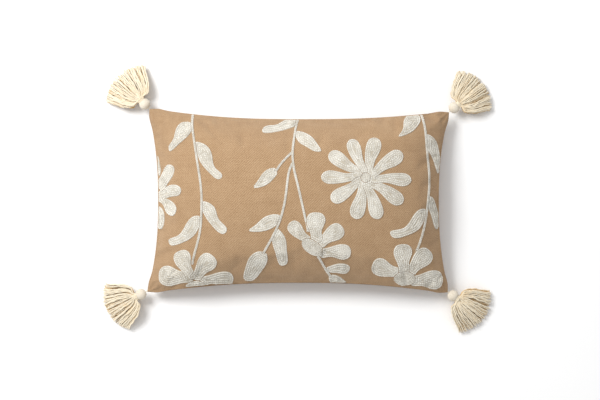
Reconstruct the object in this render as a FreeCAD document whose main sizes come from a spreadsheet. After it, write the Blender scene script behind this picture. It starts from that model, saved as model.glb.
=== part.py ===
import FreeCAD, Part
import math
import os
import Sketcher

from FreeCAD import Placement, Rotation, Vector

# Throw pillow: a zipped cover with crewel embroidery, a stuffed insert and four corner tassels.
# It lies flat on its back. X runs along the long side, Y towards the top edge, Z up.
# The origin is on the floor under the middle of the pillow. All sizes are in millimetres.

doc = FreeCAD.newDocument("ThrowPillow")
sheet = doc.addObject("Spreadsheet::Sheet", "Sizes")

SIZES = [
    ("pillow_length", 498),      # along X, between the corners before they are rounded
    ("pillow_width", 306),       # the same along Y
    ("end_draw", 19.5),          # how far stuffing draws in the middle of a short end
    ("side_draw", 19.2),         # the same for a long side
    ("seam_height", 48),         # seam above the floor, along the zip
    ("corner_drop", 25),         # how much lower the corners hang
    ("corner_blunt", 2.4),       # rounding of the turned corners
    ("skew_x_tl", 0.6),          # no two corners fill alike: each tip's own shift along X and Y
    ("skew_y_tl", 1.4),
    ("skew_x_tr", 1.7),
    ("skew_y_tr", -4),
    ("skew_x_bl", -3.6),
    ("skew_y_bl", 1.9),
    ("skew_x_br", -0.6),
    ("skew_y_br", 1),
    ("front_loft", 67),          # rise of the front panel above the seam
    ("back_loft", 62),           # fall of the back panel below the seam, before it is pressed flat
    ("cloth", 1.2),              # cover fabric
    ("case_cloth", 0.8),         # insert fabric
    ("insert_inset", 14),        # insert edge, measured in from the cover seam
    ("insert_ease", 0.5),        # room between insert and cover
    ("corner_core", 15),         # seam allowances fill each cover corner this far in
    ("thread_height", 1.1),      # how far the embroidery stands off the cloth
    ("stem_width", 3.8),         # embroidered stems
    ("crown_takeup", 0.022),     # the crowned cloth draws the pattern in towards the middle
    ("zip_length", 300),
    ("zip_setback", 5),          # coils sit this far inside the seam
    ("coil_width", 2.6),
    ("coil_height", 0.9),
    ("tape_thick", 0.6),
    ("tape_width", 14),
    ("hem_thick", 1.0),          # turned-in edge of the cover that the tape is sewn to
    ("hem_over", 12),            # hem and slot run past each end of the coils
    ("level_over", 2.34),        # the seam stays level this far past the slot
    ("slide_gap", 0.3),          # running clearance of the slider and its pull
    ("slider_length", 9),
    ("slider_wall", 0.8),
    ("slider_reach", 4.4),       # how far the slider's plates reach in over the tapes
    ("pull_length", 17),
    ("pull_width", 3),
    ("pull_thick", 1.0),
    ("pin_radius", 0.5),
    ("cord_radius", 0.6),
    ("cord_stub", 1.2),          # cord standing out of each corner, up to the knot's middle
    ("knot_radius", 0.9),
    ("knot_gap", 0.2),
    ("ball_radius", 9.3),
    ("ball_flat", 7.6),          # ball centre to the flat where the yarns leave
    ("neck_radius", 5),
    ("binding_width", 3.2),
    ("binding_wall", 1.5),
    ("skirt_reach", 63),         # ball centre to the yarn tips
    ("skirt_ease", 0.3),         # the yarns start to spread this far past the binding
    ("skirt_body", 22),          # ball centre to where the fan is thickest
    ("skirt_root_half", 4.2),    # half the thickness of the fan at its root
    ("skirt_body_half", 4.8),
    ("skirt_tip_thick", 4.2),
    ("fan_angle", 84),
    ("floor_gap", 0.4),          # under the yarn tips
]
for row, (alias, value) in enumerate(SIZES, start=1):
    sheet.set("A%d" % row, alias)
    sheet.set("B%d" % row, str(value))
    sheet.setAlias("B%d" % row, alias)
doc.recompute()


def size(alias):
    return float(sheet.get(alias))


LENGTH = size("pillow_length")
WIDTH = size("pillow_width")
SEAM_Z = size("seam_height")
parts = []


# ---------------------------------------------------------------- shared shape of the stuffed cloth

def bulge(u, v):
    """Height of the stuffed panel over the seam, 1 in the middle and 0 at the edges."""
    return ((1 - u * u) * (1 - v * v)) ** 0.6


def sag(u, v):
    """The seam is level along the zip and drops towards the corners."""
    level = (size("zip_length") / 2 + size("hem_over") + size("level_over")) / (LENGTH / 2)
    towards_end = max(0.0, (abs(u) - level) / (1 - level))
    return towards_end ** 1.5 * abs(v) ** 1.5


def seam_point(u, v):
    """Point of the surface midway between front and back; u and v run from -1 to 1."""
    x = u * (LENGTH / 2 - size("end_draw") * (1 - abs(v) ** 2.3))
    y = v * (WIDTH / 2 - size("side_draw") * (1 - abs(u) ** 2.5))
    blunt = size("corner_blunt") * abs(u * v) ** 20
    x -= math.copysign(blunt, u)
    y -= math.copysign(blunt, v)
    corner = ("b", "t")[v > 0] + ("l", "r")[u > 0]
    x += size("skew_x_" + corner) * (u * v) ** 2
    y += size("skew_y_" + corner) * (u * v) ** 2
    return Vector(x, y, SEAM_Z - size("corner_drop") * sag(u, v))


def spread(count):
    """Net positions from -1 to 1, closer together near the seam."""
    widest = math.radians(80)
    turns = [widest * (2 * i / (count - 1) - 1) for i in range(count)]
    return [math.sin(t) / math.sin(widest) for t in turns]


NET_U = spread(17)
NET_V = spread(13)


def clamped(count):
    """Knots and multiplicities of a cubic curve that starts and ends on its net."""
    spans = count - 3
    knots = [i / spans for i in range(spans + 1)]
    return knots, [4] + [1] * (spans - 1) + [4]


def panel_face(inset, loft, lift):
    """Smooth panel; a loft of 0 gives the surface midway between front and back, moved up by lift."""
    keep_u = 1 - inset / (LENGTH / 2)
    keep_v = 1 - inset / (WIDTH / 2)
    net = []
    for u in NET_U:
        line = []
        for v in NET_V:
            point = seam_point(u * keep_u, v * keep_v)
            line.append(point + Vector(0, 0, lift + loft * bulge(u, v)))
        net.append(line)
    u_knots, u_mults = clamped(len(NET_U))
    v_knots, v_mults = clamped(len(NET_V))
    surface = Part.BSplineSurface()
    surface.buildFromPolesMultsKnots(net, u_mults, v_mults, u_knots, v_knots, False, False, 3, 3)
    return surface.toShape()


def pouch(inset, up, down, lift=0):
    """Closed solid between two panels that share one seam."""
    shell = Part.Shell([panel_face(inset, up, lift), panel_face(inset, -down, lift)])
    shell.sewShape()
    solid = Part.Solid(shell)
    if solid.Volume < 0:
        solid.reverse()
    return solid


def above(height):
    """Everything the pillow could fill above a level."""
    low = Vector(-LENGTH, -WIDTH, height)
    return Part.makeBox(2 * LENGTH, 2 * WIDTH, 300, low)


def corner_posts(radius):
    """Upright cylinders centred on the four corners."""
    posts = []
    for u in (-1, 1):
        for v in (-1, 1):
            corner = seam_point(u, v)
            posts.append(Part.makeCylinder(radius, 300, Vector(corner.x, corner.y, -100)))
    return posts


def add_shape(name, shape):
    feature = doc.addObject("Part::Feature", name)
    feature.Shape = shape
    feature.Label = name
    parts.append(feature)
    return feature


# ---------------------------------------------------------------- zip geometry shared by several parts

COIL_Y = seam_point(0, -1).y + size("zip_setback")
STACK = size("coil_height") + size("tape_thick")
HEM_LOW = STACK + 2 * size("slide_gap") + size("slider_wall")
SLOT_HALF = size("zip_length") / 2 + size("hem_over")


def bar(x_half, y_low, y_high, z_low, z_high):
    """Box along the zip, measured from the coils' outer edge and the seam's level."""
    corner = Vector(-x_half, COIL_Y + y_low, SEAM_Z + z_low)
    return Part.makeBox(2 * x_half, y_high - y_low, z_high - z_low, corner)


# ---------------------------------------------------------------- cover and insert

front_block = pouch(0, size("front_loft"), 0)
back_block = pouch(0, 0, size("back_loft")).common(above(0))

# Each hollow's own seam lies beyond the parting surface, so that it opens the block right across.
overlap = 3
front_up = size("front_loft") - size("cloth") + overlap
back_down = size("back_loft") - size("cloth") + overlap
core_posts = corner_posts(size("corner_core"))
front_hollow = pouch(size("cloth"), front_up, 40, -overlap).cut(core_posts)
back_hollow = pouch(size("cloth"), 40, back_down, overlap).common(above(size("cloth"))).cut(core_posts)

hem_end = size("hem_over")
slot = bar(SLOT_HALF, -60, 3, -HEM_LOW, HEM_LOW)
front_hem = bar(SLOT_HALF, -60, hem_end, HEM_LOW, HEM_LOW + size("hem_thick")).common(front_hollow)
back_hem = bar(SLOT_HALF, -60, hem_end, -HEM_LOW - size("hem_thick"), -HEM_LOW).common(back_hollow)


def tassel_heading(name):
    """Direction of each tassel as seen from above, in degrees from +X."""
    return {"tl": 134, "tr": 40, "bl": 207, "br": -36}[name]


CORNERS = {"tl": (-1, 1), "tr": (1, 1), "bl": (-1, -1), "br": (1, -1)}


def corner_cord(name):
    """Cord that is sewn into a corner and stands out of it along the corner's middle."""
    u, v = CORNERS[name]
    tip = seam_point(u, v)
    outward = Vector(u, v, 0).normalize()
    inner = tip - outward * 7
    length = 7 + size("cord_stub") - size("knot_radius") - size("knot_gap")
    return Part.makeCylinder(size("cord_radius"), length, inner, outward)


def knot_point(name):
    """Middle of the knot that a tassel swings from."""
    u, v = CORNERS[name]
    outward = Vector(u, v, 0).normalize()
    return seam_point(u, v) + outward * size("cord_stub")


cords = {name: corner_cord(name) for name in CORNERS}

cover_front = front_block.cut([front_hollow, slot] + list(cords.values())).fuse(front_hem).removeSplitter()
cover_back = back_block.cut([back_hollow, slot] + list(cords.values())).fuse(back_hem).removeSplitter()
add_shape("cover_front", cover_front)
add_shape("cover_back", cover_back)
for name in CORNERS:
    add_shape("corner_cord_" + name, cords[name])

reach = size("cloth") + size("insert_ease")
insert_posts = corner_posts(2 * size("corner_core") + 2)
zip_room = bar(SLOT_HALF + 4, -60, size("tape_width") + 1, -HEM_LOW - 2, HEM_LOW + 2)


def insert_block(skin):
    """The stuffed insert, less a skin all round; it rests on the cover's back."""
    inset = size("insert_inset") + skin
    up = size("front_loft") - reach - skin
    down = size("back_loft") - reach - skin
    block = pouch(inset, up, down).common(above(size("cloth") + skin))
    posts = [p for p in insert_posts]
    if skin:
        posts = corner_posts(2 * size("corner_core") + 2 + skin)
    room = zip_room
    if skin:
        room = bar(SLOT_HALF + 4 + skin, -60, size("tape_width") + 1 + skin,
                   -HEM_LOW - 2 - skin, HEM_LOW + 2 + skin)
    return block.cut(posts + [room])


insert_outer = insert_block(0)
insert_fill = insert_block(size("case_cloth"))
case = insert_outer.cut(insert_fill)
upper_room = pouch(0, size("front_loft"), 0, 1.5)
add_shape("insert_case_front", case.common(upper_room))
add_shape("insert_case_back", case.cut(upper_room))
add_shape("insert_fill", insert_fill)



# ---------------------------------------------------------------- sketches bound to the sheet

def own_plane(body, role):
    for feature in body.Origin.OriginFeatures:
        if feature.Role == role:
            return feature
    raise RuntimeError("no plane " + role)


def start_sketch(body, name, role):
    sketch = body.newObject("Sketcher::SketchObject", name)
    sketch.AttachmentSupport = [(own_plane(body, role), "")]
    sketch.MapMode = "FlatFace"
    return sketch


def bind(sketch, kind, place, expression):
    """Tie one coordinate or radius of a sketch to an expression over the sheet."""
    value = float(sketch.evalExpression(expression))
    index = sketch.addConstraint(Sketcher.Constraint(kind, *place, value))
    sketch.setExpression("Constraints[%d]" % index, expression)


def polygon(body, name, role, corners):
    """Closed outline; each corner is a pair of expressions."""
    sketch = start_sketch(body, name, role)
    points = [Vector(float(sketch.evalExpression(x)), float(sketch.evalExpression(y)), 0)
              for x, y in corners]
    count = len(points)
    for i in range(count):
        sketch.addGeometry(Part.LineSegment(points[i], points[(i + 1) % count]), False)
    for i in range(count):
        sketch.addConstraint(Sketcher.Constraint("Coincident", i, 2, (i + 1) % count, 1))
    for i, (x, y) in enumerate(corners):
        bind(sketch, "DistanceX", (-1, 1, i, 1), x)
        bind(sketch, "DistanceY", (-1, 1, i, 1), y)
    return sketch


def rectangle(body, name, role, low, high):
    (x0, y0), (x1, y1) = low, high
    return polygon(body, name, role, [(x0, y0), (x1, y0), (x1, y1), (x0, y1)])


def disc(body, name, role, x, y, radius):
    sketch = start_sketch(body, name, role)
    values = [float(sketch.evalExpression(e)) for e in (x, y, radius)]
    circle = Part.Circle(Vector(values[0], values[1], 0), Vector(0, 0, 1), values[2])
    sketch.addGeometry(circle, False)
    bind(sketch, "DistanceX", (-1, 1, 0, 3), x)
    bind(sketch, "DistanceY", (-1, 1, 0, 3), y)
    bind(sketch, "Radius", (0,), radius)
    return sketch


def both_ways(body, kind, name, sketch, length):
    """Pad or pocket, half of it on each side of the sketch."""
    feature = body.newObject("PartDesign::" + kind, name)
    feature.Profile = sketch
    feature.setExpression("Length", length)
    feature.SideType = "Symmetric"
    return feature


def turn(body, name, sketch, axis, angle):
    feature = body.newObject("PartDesign::Revolution", name)
    feature.Profile = sketch
    feature.ReferenceAxis = (sketch, [axis])
    feature.setExpression("Angle", angle)
    feature.Midplane = True
    return feature


def new_body(name, placement):
    body = doc.addObject("PartDesign::Body", name)
    body.Label = name
    body.Placement = placement
    parts.append(body)
    return body


# ---------------------------------------------------------------- zip, in the bottom seam

def at_coils(x):
    """Frame at the coils' outer edge; its Y points into the pillow."""
    return Placement(Vector(x, COIL_Y, SEAM_Z), Rotation())


def mirror_z(corners):
    return [(x, "-(%s)" % z) for x, z in corners]


stack = "Sizes.coil_height + Sizes.tape_thick"
hem_low = "Sizes.coil_height + Sizes.tape_thick + 2 * Sizes.slide_gap + Sizes.slider_wall"
ridge_start = "Sizes.slider_reach + 1.1"
ridge_end = "Sizes.slider_reach + 4.6"
tape_outline = [
    ("0", "Sizes.coil_height"),
    ("Sizes.tape_width", "Sizes.coil_height"),
    ("Sizes.tape_width", stack),
    (ridge_end, stack),
    (ridge_end, hem_low),
    (ridge_start, hem_low),
    (ridge_start, stack),
    ("0", stack),
]
coil_outline = [
    ("0", "0"),
    ("Sizes.coil_width", "0"),
    ("Sizes.coil_width", "Sizes.coil_height"),
    ("0", "Sizes.coil_height"),
]
tape_length = "Sizes.zip_length + 2 * Sizes.hem_over"
for side, tape, coil in [("front", tape_outline, coil_outline),
                         ("back", mirror_z(tape_outline), mirror_z(coil_outline))]:
    body = new_body("zip_tape_" + side, at_coils(0))
    sketch = polygon(body, "TapeOutline_" + side, "YZ_Plane", tape)
    both_ways(body, "Pad", "Tape_" + side, sketch, tape_length)
    body = new_body("zip_coil_" + side, at_coils(0))
    sketch = polygon(body, "CoilOutline_" + side, "YZ_Plane", coil)
    both_ways(body, "Pad", "Coil_" + side, sketch, "Sizes.zip_length")

STOP_LENGTH = 3
for name, way in (("zip_stop_closed", 1), ("zip_stop_open", -1)):
    body = new_body(name, at_coils(way * (size("zip_length") + STOP_LENGTH) / 2))
    sketch = rectangle(body, name + "_outline", "YZ_Plane", ("-0.6", "-Sizes.coil_height"),
                       ("Sizes.coil_width", "Sizes.coil_height"))
    both_ways(body, "Pad", name + "_pad", sketch, str(STOP_LENGTH))

# The slider is a channel that straddles both tapes, with two ears and a pin for its pull.
HOME_X = size("zip_length") / 2 - size("slider_length") / 2 - 1.5
inner = stack + " + Sizes.slide_gap"
outer = inner + " + Sizes.slider_wall"
web_in = "-Sizes.slide_gap"
web_out = "-Sizes.slide_gap - 2 * Sizes.slider_wall"
pin_y = web_out + " - Sizes.slide_gap - Sizes.pull_width / 2"
ear_half = "Sizes.pull_thick / 2 + 2 * Sizes.slide_gap + Sizes.slider_wall"
ear_gap_half = "Sizes.pull_thick / 2 + Sizes.slide_gap"
slider = new_body("zip_slider", at_coils(HOME_X))
channel = polygon(slider, "Channel", "YZ_Plane", [
    (web_out, "-(%s)" % outer),
    ("Sizes.slider_reach", "-(%s)" % outer),
    ("Sizes.slider_reach", "-(%s)" % inner),
    (web_in, "-(%s)" % inner),
    (web_in, inner),
    ("Sizes.slider_reach", inner),
    ("Sizes.slider_reach", outer),
    (web_out, outer),
])
both_ways(slider, "Pad", "ChannelPad", channel, "Sizes.slider_length")
ears = rectangle(slider, "Ears", "XY_Plane", ("-1.8", pin_y + " - 1.2"), ("1.8", web_out + " + 0.3"))
both_ways(slider, "Pad", "EarPad", ears, "2 * (%s)" % ear_half)
ear_slot = rectangle(slider, "EarSlot", "XY_Plane", ("-4", pin_y + " - 3"), ("4", web_out))
both_ways(slider, "Pocket", "EarSlotCut", ear_slot, "2 * (%s)" % ear_gap_half)
pin = disc(slider, "Pin", "XY_Plane", "0", pin_y, "Sizes.pin_radius")
slider.Tip = both_ways(slider, "Pad", "PinPad", pin, "2 * (%s) - 0.4" % ear_half)

PIN_OUT = -float(sheet.evalExpression(pin_y))
pull = new_body("zip_pull", Placement(Vector(HOME_X, COIL_Y - PIN_OUT, SEAM_Z), Rotation()))
half_pull = "Sizes.pull_width / 2"
blade = rectangle(pull, "Blade", "XY_Plane", ("0", "-" + half_pull),
                  ("Sizes.pull_length - " + half_pull, half_pull))
both_ways(pull, "Pad", "BladePad", blade, "Sizes.pull_thick")
eye = disc(pull, "Eye", "XY_Plane", "0", "0", half_pull)
both_ways(pull, "Pad", "EyePad", eye, "Sizes.pull_thick")
nose = disc(pull, "Nose", "XY_Plane", "Sizes.pull_length - " + half_pull, "0", half_pull)
both_ways(pull, "Pad", "NosePad", nose, "Sizes.pull_thick")
hole = disc(pull, "PinHole", "XY_Plane", "0", "0", "Sizes.pin_radius + Sizes.slide_gap")
pull.Tip = both_ways(pull, "Pocket", "PinHoleCut", hole, "2 * Sizes.pull_thick")


# ---------------------------------------------------------------- tassels

def primitive(kind, name, expressions, placement):
    item = doc.addObject("Part::" + kind, name)
    for key, expression in expressions.items():
        item.setExpression(key, expression)
    item.Placement = placement
    return item


def along_x(distance):
    """Turns a shape's own Z onto the tassel's axis and moves it out along it."""
    return Placement(Vector(distance, 0, 0), Rotation(Vector(0, 1, 0), 90))


def cut_pair(name, solid, tool, placement):
    item = doc.addObject("Part::Cut", name)
    item.Base = solid
    item.Tool = tool
    item.Label = name
    item.Placement = placement
    parts.append(item)
    return item


BALL_OUT = size("knot_radius") + size("knot_gap") + size("ball_radius")
tip_low = "-(Sizes.seam_height - Sizes.corner_drop - Sizes.floor_gap)"
body_mid = "(%s) * 0.22" % tip_low
skirt_start = ("sqrt((Sizes.ball_flat + Sizes.binding_width)^2"
               " + (Sizes.neck_radius + Sizes.binding_wall)^2) + Sizes.skirt_ease")
skirt_section = [
    (skirt_start, "-Sizes.skirt_root_half"),
    ("Sizes.skirt_body", body_mid + " - Sizes.skirt_body_half"),
    ("Sizes.skirt_reach", tip_low),
    ("Sizes.skirt_reach", tip_low + " + Sizes.skirt_tip_thick"),
    ("Sizes.skirt_body", body_mid + " + Sizes.skirt_body_half"),
    (skirt_start, "Sizes.skirt_root_half"),
]
for name in CORNERS:
    heading = Rotation(Vector(0, 0, 1), tassel_heading(name))
    knot = primitive("Sphere", "knot_" + name, {"Radius": "Sizes.knot_radius"},
                     Placement(knot_point(name), Rotation()))
    knot.Label = "knot_" + name
    parts.append(knot)

    outward = heading.multVec(Vector(1, 0, 0))
    at_ball = Placement(knot_point(name) + outward * BALL_OUT, heading)

    sphere = primitive("Sphere", "BallRound_" + name, {
        "Radius": "Sizes.ball_radius",
        "Angle2": "asin(Sizes.ball_flat / Sizes.ball_radius)",
    }, along_x(0))
    bore = primitive("Cylinder", "BallBore_" + name, {
        "Radius": "Sizes.cord_radius",
        "Height": "3 * Sizes.ball_radius",
    }, along_x(-1.5 * size("ball_radius")))
    cut_pair("ball_" + name, sphere, bore, at_ball)

    cord = primitive("Cylinder", "tassel_cord_" + name, {
        "Radius": "Sizes.cord_radius",
        "Height": "Sizes.ball_radius + Sizes.ball_flat",
    }, at_ball.multiply(along_x(-size("ball_radius"))))
    cord.Label = "tassel_cord_" + name
    parts.append(cord)

    wound = primitive("Cylinder", "BindingOuter_" + name, {
        "Radius": "Sizes.neck_radius + Sizes.binding_wall",
        "Height": "Sizes.binding_width",
    }, along_x(size("ball_flat")))
    inside = primitive("Cylinder", "BindingInner_" + name, {
        "Radius": "Sizes.neck_radius",
        "Height": "2 * Sizes.binding_width",
    }, along_x(size("ball_flat") - 1))
    binding = cut_pair("binding_" + name, wound, inside, at_ball)

    skirt = new_body("skirt_" + name, at_ball)
    neck = rectangle(skirt, "Neck_" + name, "XZ_Plane", ("Sizes.ball_flat", "0"),
                     (skirt_start + " + 1", "Sizes.neck_radius"))
    turn(skirt, "NeckTurn_" + name, neck, "H_Axis", "360")
    fan = polygon(skirt, "Fan_" + name, "XZ_Plane", skirt_section)
    skirt.Tip = turn(skirt, "FanTurn_" + name, fan, "V_Axis", "Sizes.fan_angle")



# ---------------------------------------------------------------- embroidery
# Each shape is drawn flat in X and Y, cut against its neighbours so that they meet edge to edge,
# then raised as a thin layer that follows the front panel.

def lay(x, y):
    """Place a point of the pattern; the pattern is drawn for the nominal pillow and scales with it."""
    x *= LENGTH / 498
    y *= WIDTH / 306
    u = min(1, abs(2 * x / LENGTH))
    v = min(1, abs(2 * y / WIDTH))
    closer = 1 - size("crown_takeup") * bulge(u, v)
    return Vector(x * closer, y * closer, 0)


def closed_curve(points):
    curve = Part.BSplineCurve()
    curve.interpolate([lay(x, y) for x, y in points], PeriodicFlag=True)
    return Part.Face(Part.Wire([curve.toShape()]))


def patch(points):
    """Leaf or petal drawn as a rounded outline through a few points."""
    return closed_curve(points)


def petal(root, tip, width, root_width):
    """Rounded petal, widest towards its tip."""
    along = Vector(tip[0] - root[0], tip[1] - root[1], 0)
    length = along.Length
    along.normalize()
    side = Vector(-along.y, along.x, 0)
    half = [(0.0, root_width / 2), (0.33, 0.32 * width), (0.72, 0.5 * width), (0.93, 0.37 * width)]
    left = [(root[0] + along.x * s * length + side.x * w, root[1] + along.y * s * length + side.y * w)
            for s, w in half]
    right = [(root[0] + along.x * s * length - side.x * w, root[1] + along.y * s * length - side.y * w)
             for s, w in half]
    return closed_curve(left + [tip] + right[::-1])


def oval(centre, along, across, turned):
    """Flower centre."""
    points = []
    for i in range(8):
        a = math.radians(45 * i)
        x, y = along * math.cos(a), across * math.sin(a)
        t = math.radians(turned)
        points.append((centre[0] + x * math.cos(t) - y * math.sin(t),
                       centre[1] + x * math.sin(t) + y * math.cos(t)))
    return closed_curve(points)


def stem(points):
    """Band of even width along a curve."""
    middle = Part.BSplineCurve()
    middle.interpolate([lay(x, y) for x, y in points])
    half = size("stem_width") / 2
    count = 2 * len(points)
    left, right = [], []
    for i in range(count + 1):
        t = middle.FirstParameter + (middle.LastParameter - middle.FirstParameter) * i / count
        point = middle.value(t)
        tangent = middle.tangent(t)[0]
        across = Vector(-tangent.y, tangent.x, 0) * half
        left.append(point + across)
        right.append(point - across)
    edges = []
    for line in (left, right):
        side = Part.BSplineCurve()
        side.interpolate(line)
        edges.append(side.toShape())
    edges.append(Part.makeLine(left[0], right[0]))
    edges.append(Part.makeLine(left[-1], right[-1]))
    return Part.Face(Part.Wire(Part.__sortEdges__(edges)))


def seam_outline(inset):
    """Flat region inside the seam; the embroidery runs out into the seam and stops there."""
    keep_u = 1 - inset / (LENGTH / 2)
    keep_v = 1 - inset / (WIDTH / 2)
    edges = []
    for line in ([(u, -1) for u in NET_U], [(1, v) for v in NET_V],
                 [(u, 1) for u in NET_U[::-1]], [(-1, v) for v in NET_V[::-1]]):
        net = []
        for u, v in line:
            point = seam_point(u * keep_u, v * keep_v)
            net.append(Vector(point.x, point.y, 0))
        knots, mults = clamped(len(net))
        curve = Part.BSplineCurve()
        curve.buildFromPolesMultsKnots(net, mults, knots, False, 3)
        edges.append(curve.toShape())
    return Part.Face(Part.Wire(edges))


def apart(faces, taken):
    """Cut each face by what is already there and by the ones before it."""
    kept = []
    for face in faces:
        face = face.cut(taken + kept) if taken + kept else face
        pieces = sorted(face.Faces, key=lambda f: -f.Area)
        kept.append(pieces[0])
    return kept


SEAM_FACE = seam_outline(1.6)
raised_block = front_block.copy()
raised_block.translate(Vector(0, 0, size("thread_height")))


def stitched(name, faces):
    """Raise flat shapes into a thin layer of thread on the front panel."""
    solids = []
    for face in faces:
        inside = face.common(SEAM_FACE)
        for region in inside.Faces:
            if region.Area < 4:
                continue
            column = region.extrude(Vector(0, 0, 300))
            layer = column.common(raised_block).cut(front_block)
            solids += [solid for solid in layer.Solids if solid.Volume > 1]
    add_shape(name, Part.makeCompound(solids))


# daisy: ten petals around one centre
daisy_centre = oval((109.5, 38), 8, 8, 0)
daisy_tips = [
    ((85, 101), 22.5),
    ((126.5, 103.5), 25),
    ((169.5, 79), 25),
    ((184.5, 34), 22),
    ((170.5, -3), 24),
    ((131, -29.5), 24),
    ((92.5, -29.5), 25),
    ((53.5, 0), 24),
    ((36.5, 39), 22.5),
    ((50, 78.5), 24),
]
daisy_petals = []
for tip, width in daisy_tips:
    root = (109.5 + 0.06 * (tip[0] - 109.5), 38 + 0.06 * (tip[1] - 38))
    daisy_petals.append(petal(root, tip, width, 3))
daisy_petals = apart(daisy_petals, [daisy_centre])

# left vine, and the flower at its foot, which the bottom seam cuts
left_centre = oval((-168, -146), 20, 15, 0)
left_foot = apart([
    petal((-171, -126), (-139.5, -89), 31, 14),
    petal((-178, -124), (-194.5, -81), 29.5, 14),
    petal((-176, -127), (-229.5, -121), 34, 16),
    petal((-163, -129), (-106.5, -127), 25, 14),
], [left_centre])
left_stem = apart([stem([(-173, 142), (-174, 127), (-170.5, 100), (-166.5, 73), (-161, 38), (-158.2, 12),
                         (-158, -10), (-158.6, -30), (-161.5, -54), (-168, -80), (-173.5, -103)])], left_foot)
left_leaves = apart([
    patch([(-174, 127), (-183, 130), (-193, 128), (-201, 117), (-206, 100), (-213, 86), (-212, 82.5),
           (-197, 91), (-182, 104), (-174, 115)]),
    patch([(-168, 97), (-159, 95.5), (-147, 88), (-140, 72), (-135, 54), (-124, 40), (-127, 36),
           (-145, 45), (-159, 61), (-168, 85)]),
    patch([(-157, 0), (-146, -2.5), (-136, -11), (-129, -30), (-116.5, -48), (-120, -53), (-140, -42),
           (-152, -26), (-158, -12)]),
    patch([(-159, -25), (-172, -25), (-184, -38), (-199, -57), (-213, -65.5), (-212, -70), (-192, -69.5),
           (-172, -58.5), (-159, -38)]),
], left_stem)

# flower that the left seam cuts
edge_flower = apart([
    patch([(-233, 34), (-222, 50), (-213, 60), (-204.5, 57), (-204, 44), (-214, 28), (-226, 17)]),
    patch([(-233, 15), (-219, 22), (-202, 27), (-191.5, 20), (-194, 10), (-206, 7), (-233, 8)]),
    patch([(-236, 4), (-222, 5), (-206, -1), (-199, -13), (-205.5, -24.5), (-216, -20), (-228, -2)]),
    patch([(-238, 60), (-232, 75), (-227, 58), (-227, 44), (-236, 34)]),
    patch([(-236, -8), (-224, -12), (-219.5, -28), (-226, -46.5), (-236, -40)]),
], [])

# flower in the middle, near the bottom, with a short stem and two leaves below it
middle_centre = oval((22.5, -75.5), 20, 11, -35)
middle_petals = apart([
    petal((27.5, -66), (29, -18), 31.5, 18),
    petal((30, -72), (72, -42), 28, 12),
    petal((19, -70), (-14.5, -35), 23.5, 12),
    petal((34, -83), (86, -83), 26, 15),
], [middle_centre])
middle_stem = apart([stem([(27, -84), (36, -97), (44, -111), (54, -124)])], [middle_centre] + middle_petals)
middle_leaves = apart([
    patch([(45, -109), (57, -104), (74, -102), (84.5, -108), (80, -118), (62, -118), (49, -115.5)]),
    patch([(52, -120.5), (62, -121.5), (74, -128.5), (84, -142), (60, -142), (50.5, -131)]),
], middle_stem)

# centre vine: two forks, five leaves and a bud
centre_stem = stem([(0, 138), (-4, 122), (-7, 104), (-9, 88), (-9.5, 72), (-8, 56), (-3, 33), (2.5, 10),
                    (7, -10), (12, -32), (16, -50)])
left_branch = stem([(-9.5, 62), (-15, 49), (-18.5, 28), (-21.5, 4), (-27, -21), (-34.5, -42), (-45, -63),
                    (-58, -86)])
bud_branch = stem([(-9, 80.5), (-22, 68), (-32, 56), (-37, 48)])
centre_stems = centre_stem.fuse([left_branch, bud_branch]).removeSplitter()
centre_stems = apart(centre_stems.Faces, [middle_centre] + middle_petals)
centre_leaves = apart([
    patch([(-34, 47), (-37, 53.5), (-46, 53.5), (-58, 46), (-67.5, 32), (-73, 22), (-60, 22.5),
           (-45, 31), (-36, 41)]),
    patch([(-3, 115), (8, 113), (22, 105), (32, 92), (37, 81), (30, 80), (13, 88), (-3, 101)]),
    patch([(-3, 134), (-2, 126), (-14, 119), (-34, 113.5), (-60, 115.5), (-58, 120), (-38, 125.5),
           (-22, 134)]),
    patch([(-29, -23), (-43, -21.5), (-58, -27.5), (-72, -40), (-81, -48), (-66, -50.5), (-46, -46),
           (-33, -37)]),
    patch([(-35, -44), (-29, -48.5), (-20.5, -62), (-18.5, -82), (-21.5, -105), (-27, -106),
           (-37, -88), (-43, -68), (-42, -55)]),
    patch([(-60, -82), (-52, -86), (-51, -99), (-61, -116), (-80, -132), (-88, -130), (-87, -108),
           (-78, -89), (-68, -82.5)]),
], centre_stems)

# right vine and the flower at its foot
right_centre = oval((174, -127), 18, 11.5, 0)
right_foot = apart([
    petal((171.5, -118), (170, -70), 31, 17),
    petal((177, -120), (215, -81), 30.5, 13),
    petal((168, -121), (120.5, -103), 30, 15),
    petal((183, -129), (237.5, -129.5), 32, 14),
], [right_centre])
right_stub = apart([stem([(172, -136), (164, -146)])], [right_centre])
right_stem = apart([stem([(200, 144), (206, 124), (208.5, 104), (210.5, 80), (213, 55), (214, 28),
                          (212, 3), (209.5, -20), (205, -44), (197, -71), (184, -99)])], right_foot)
right_leaves = apart([
    patch([(207, 110.5), (217, 107.5), (227, 97), (231.5, 80), (233, 52), (230, 45), (223, 60),
           (213, 80), (207, 88)]),
    patch([(199, 139), (200, 131), (194, 120.5), (182, 110.5), (163, 105.5), (170, 117), (172, 130),
           (180, 141)]),
    patch([(207, -12.5), (197, -14), (184, -29), (168, -45), (149, -52), (151, -57), (176, -57),
           (196, -47), (207, -28)]),
    patch([(211, 9), (219, 6.5), (227, -10), (231, -42), (227.5, -46.5), (219, -30), (211, -8)]),
], right_stem)

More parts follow.
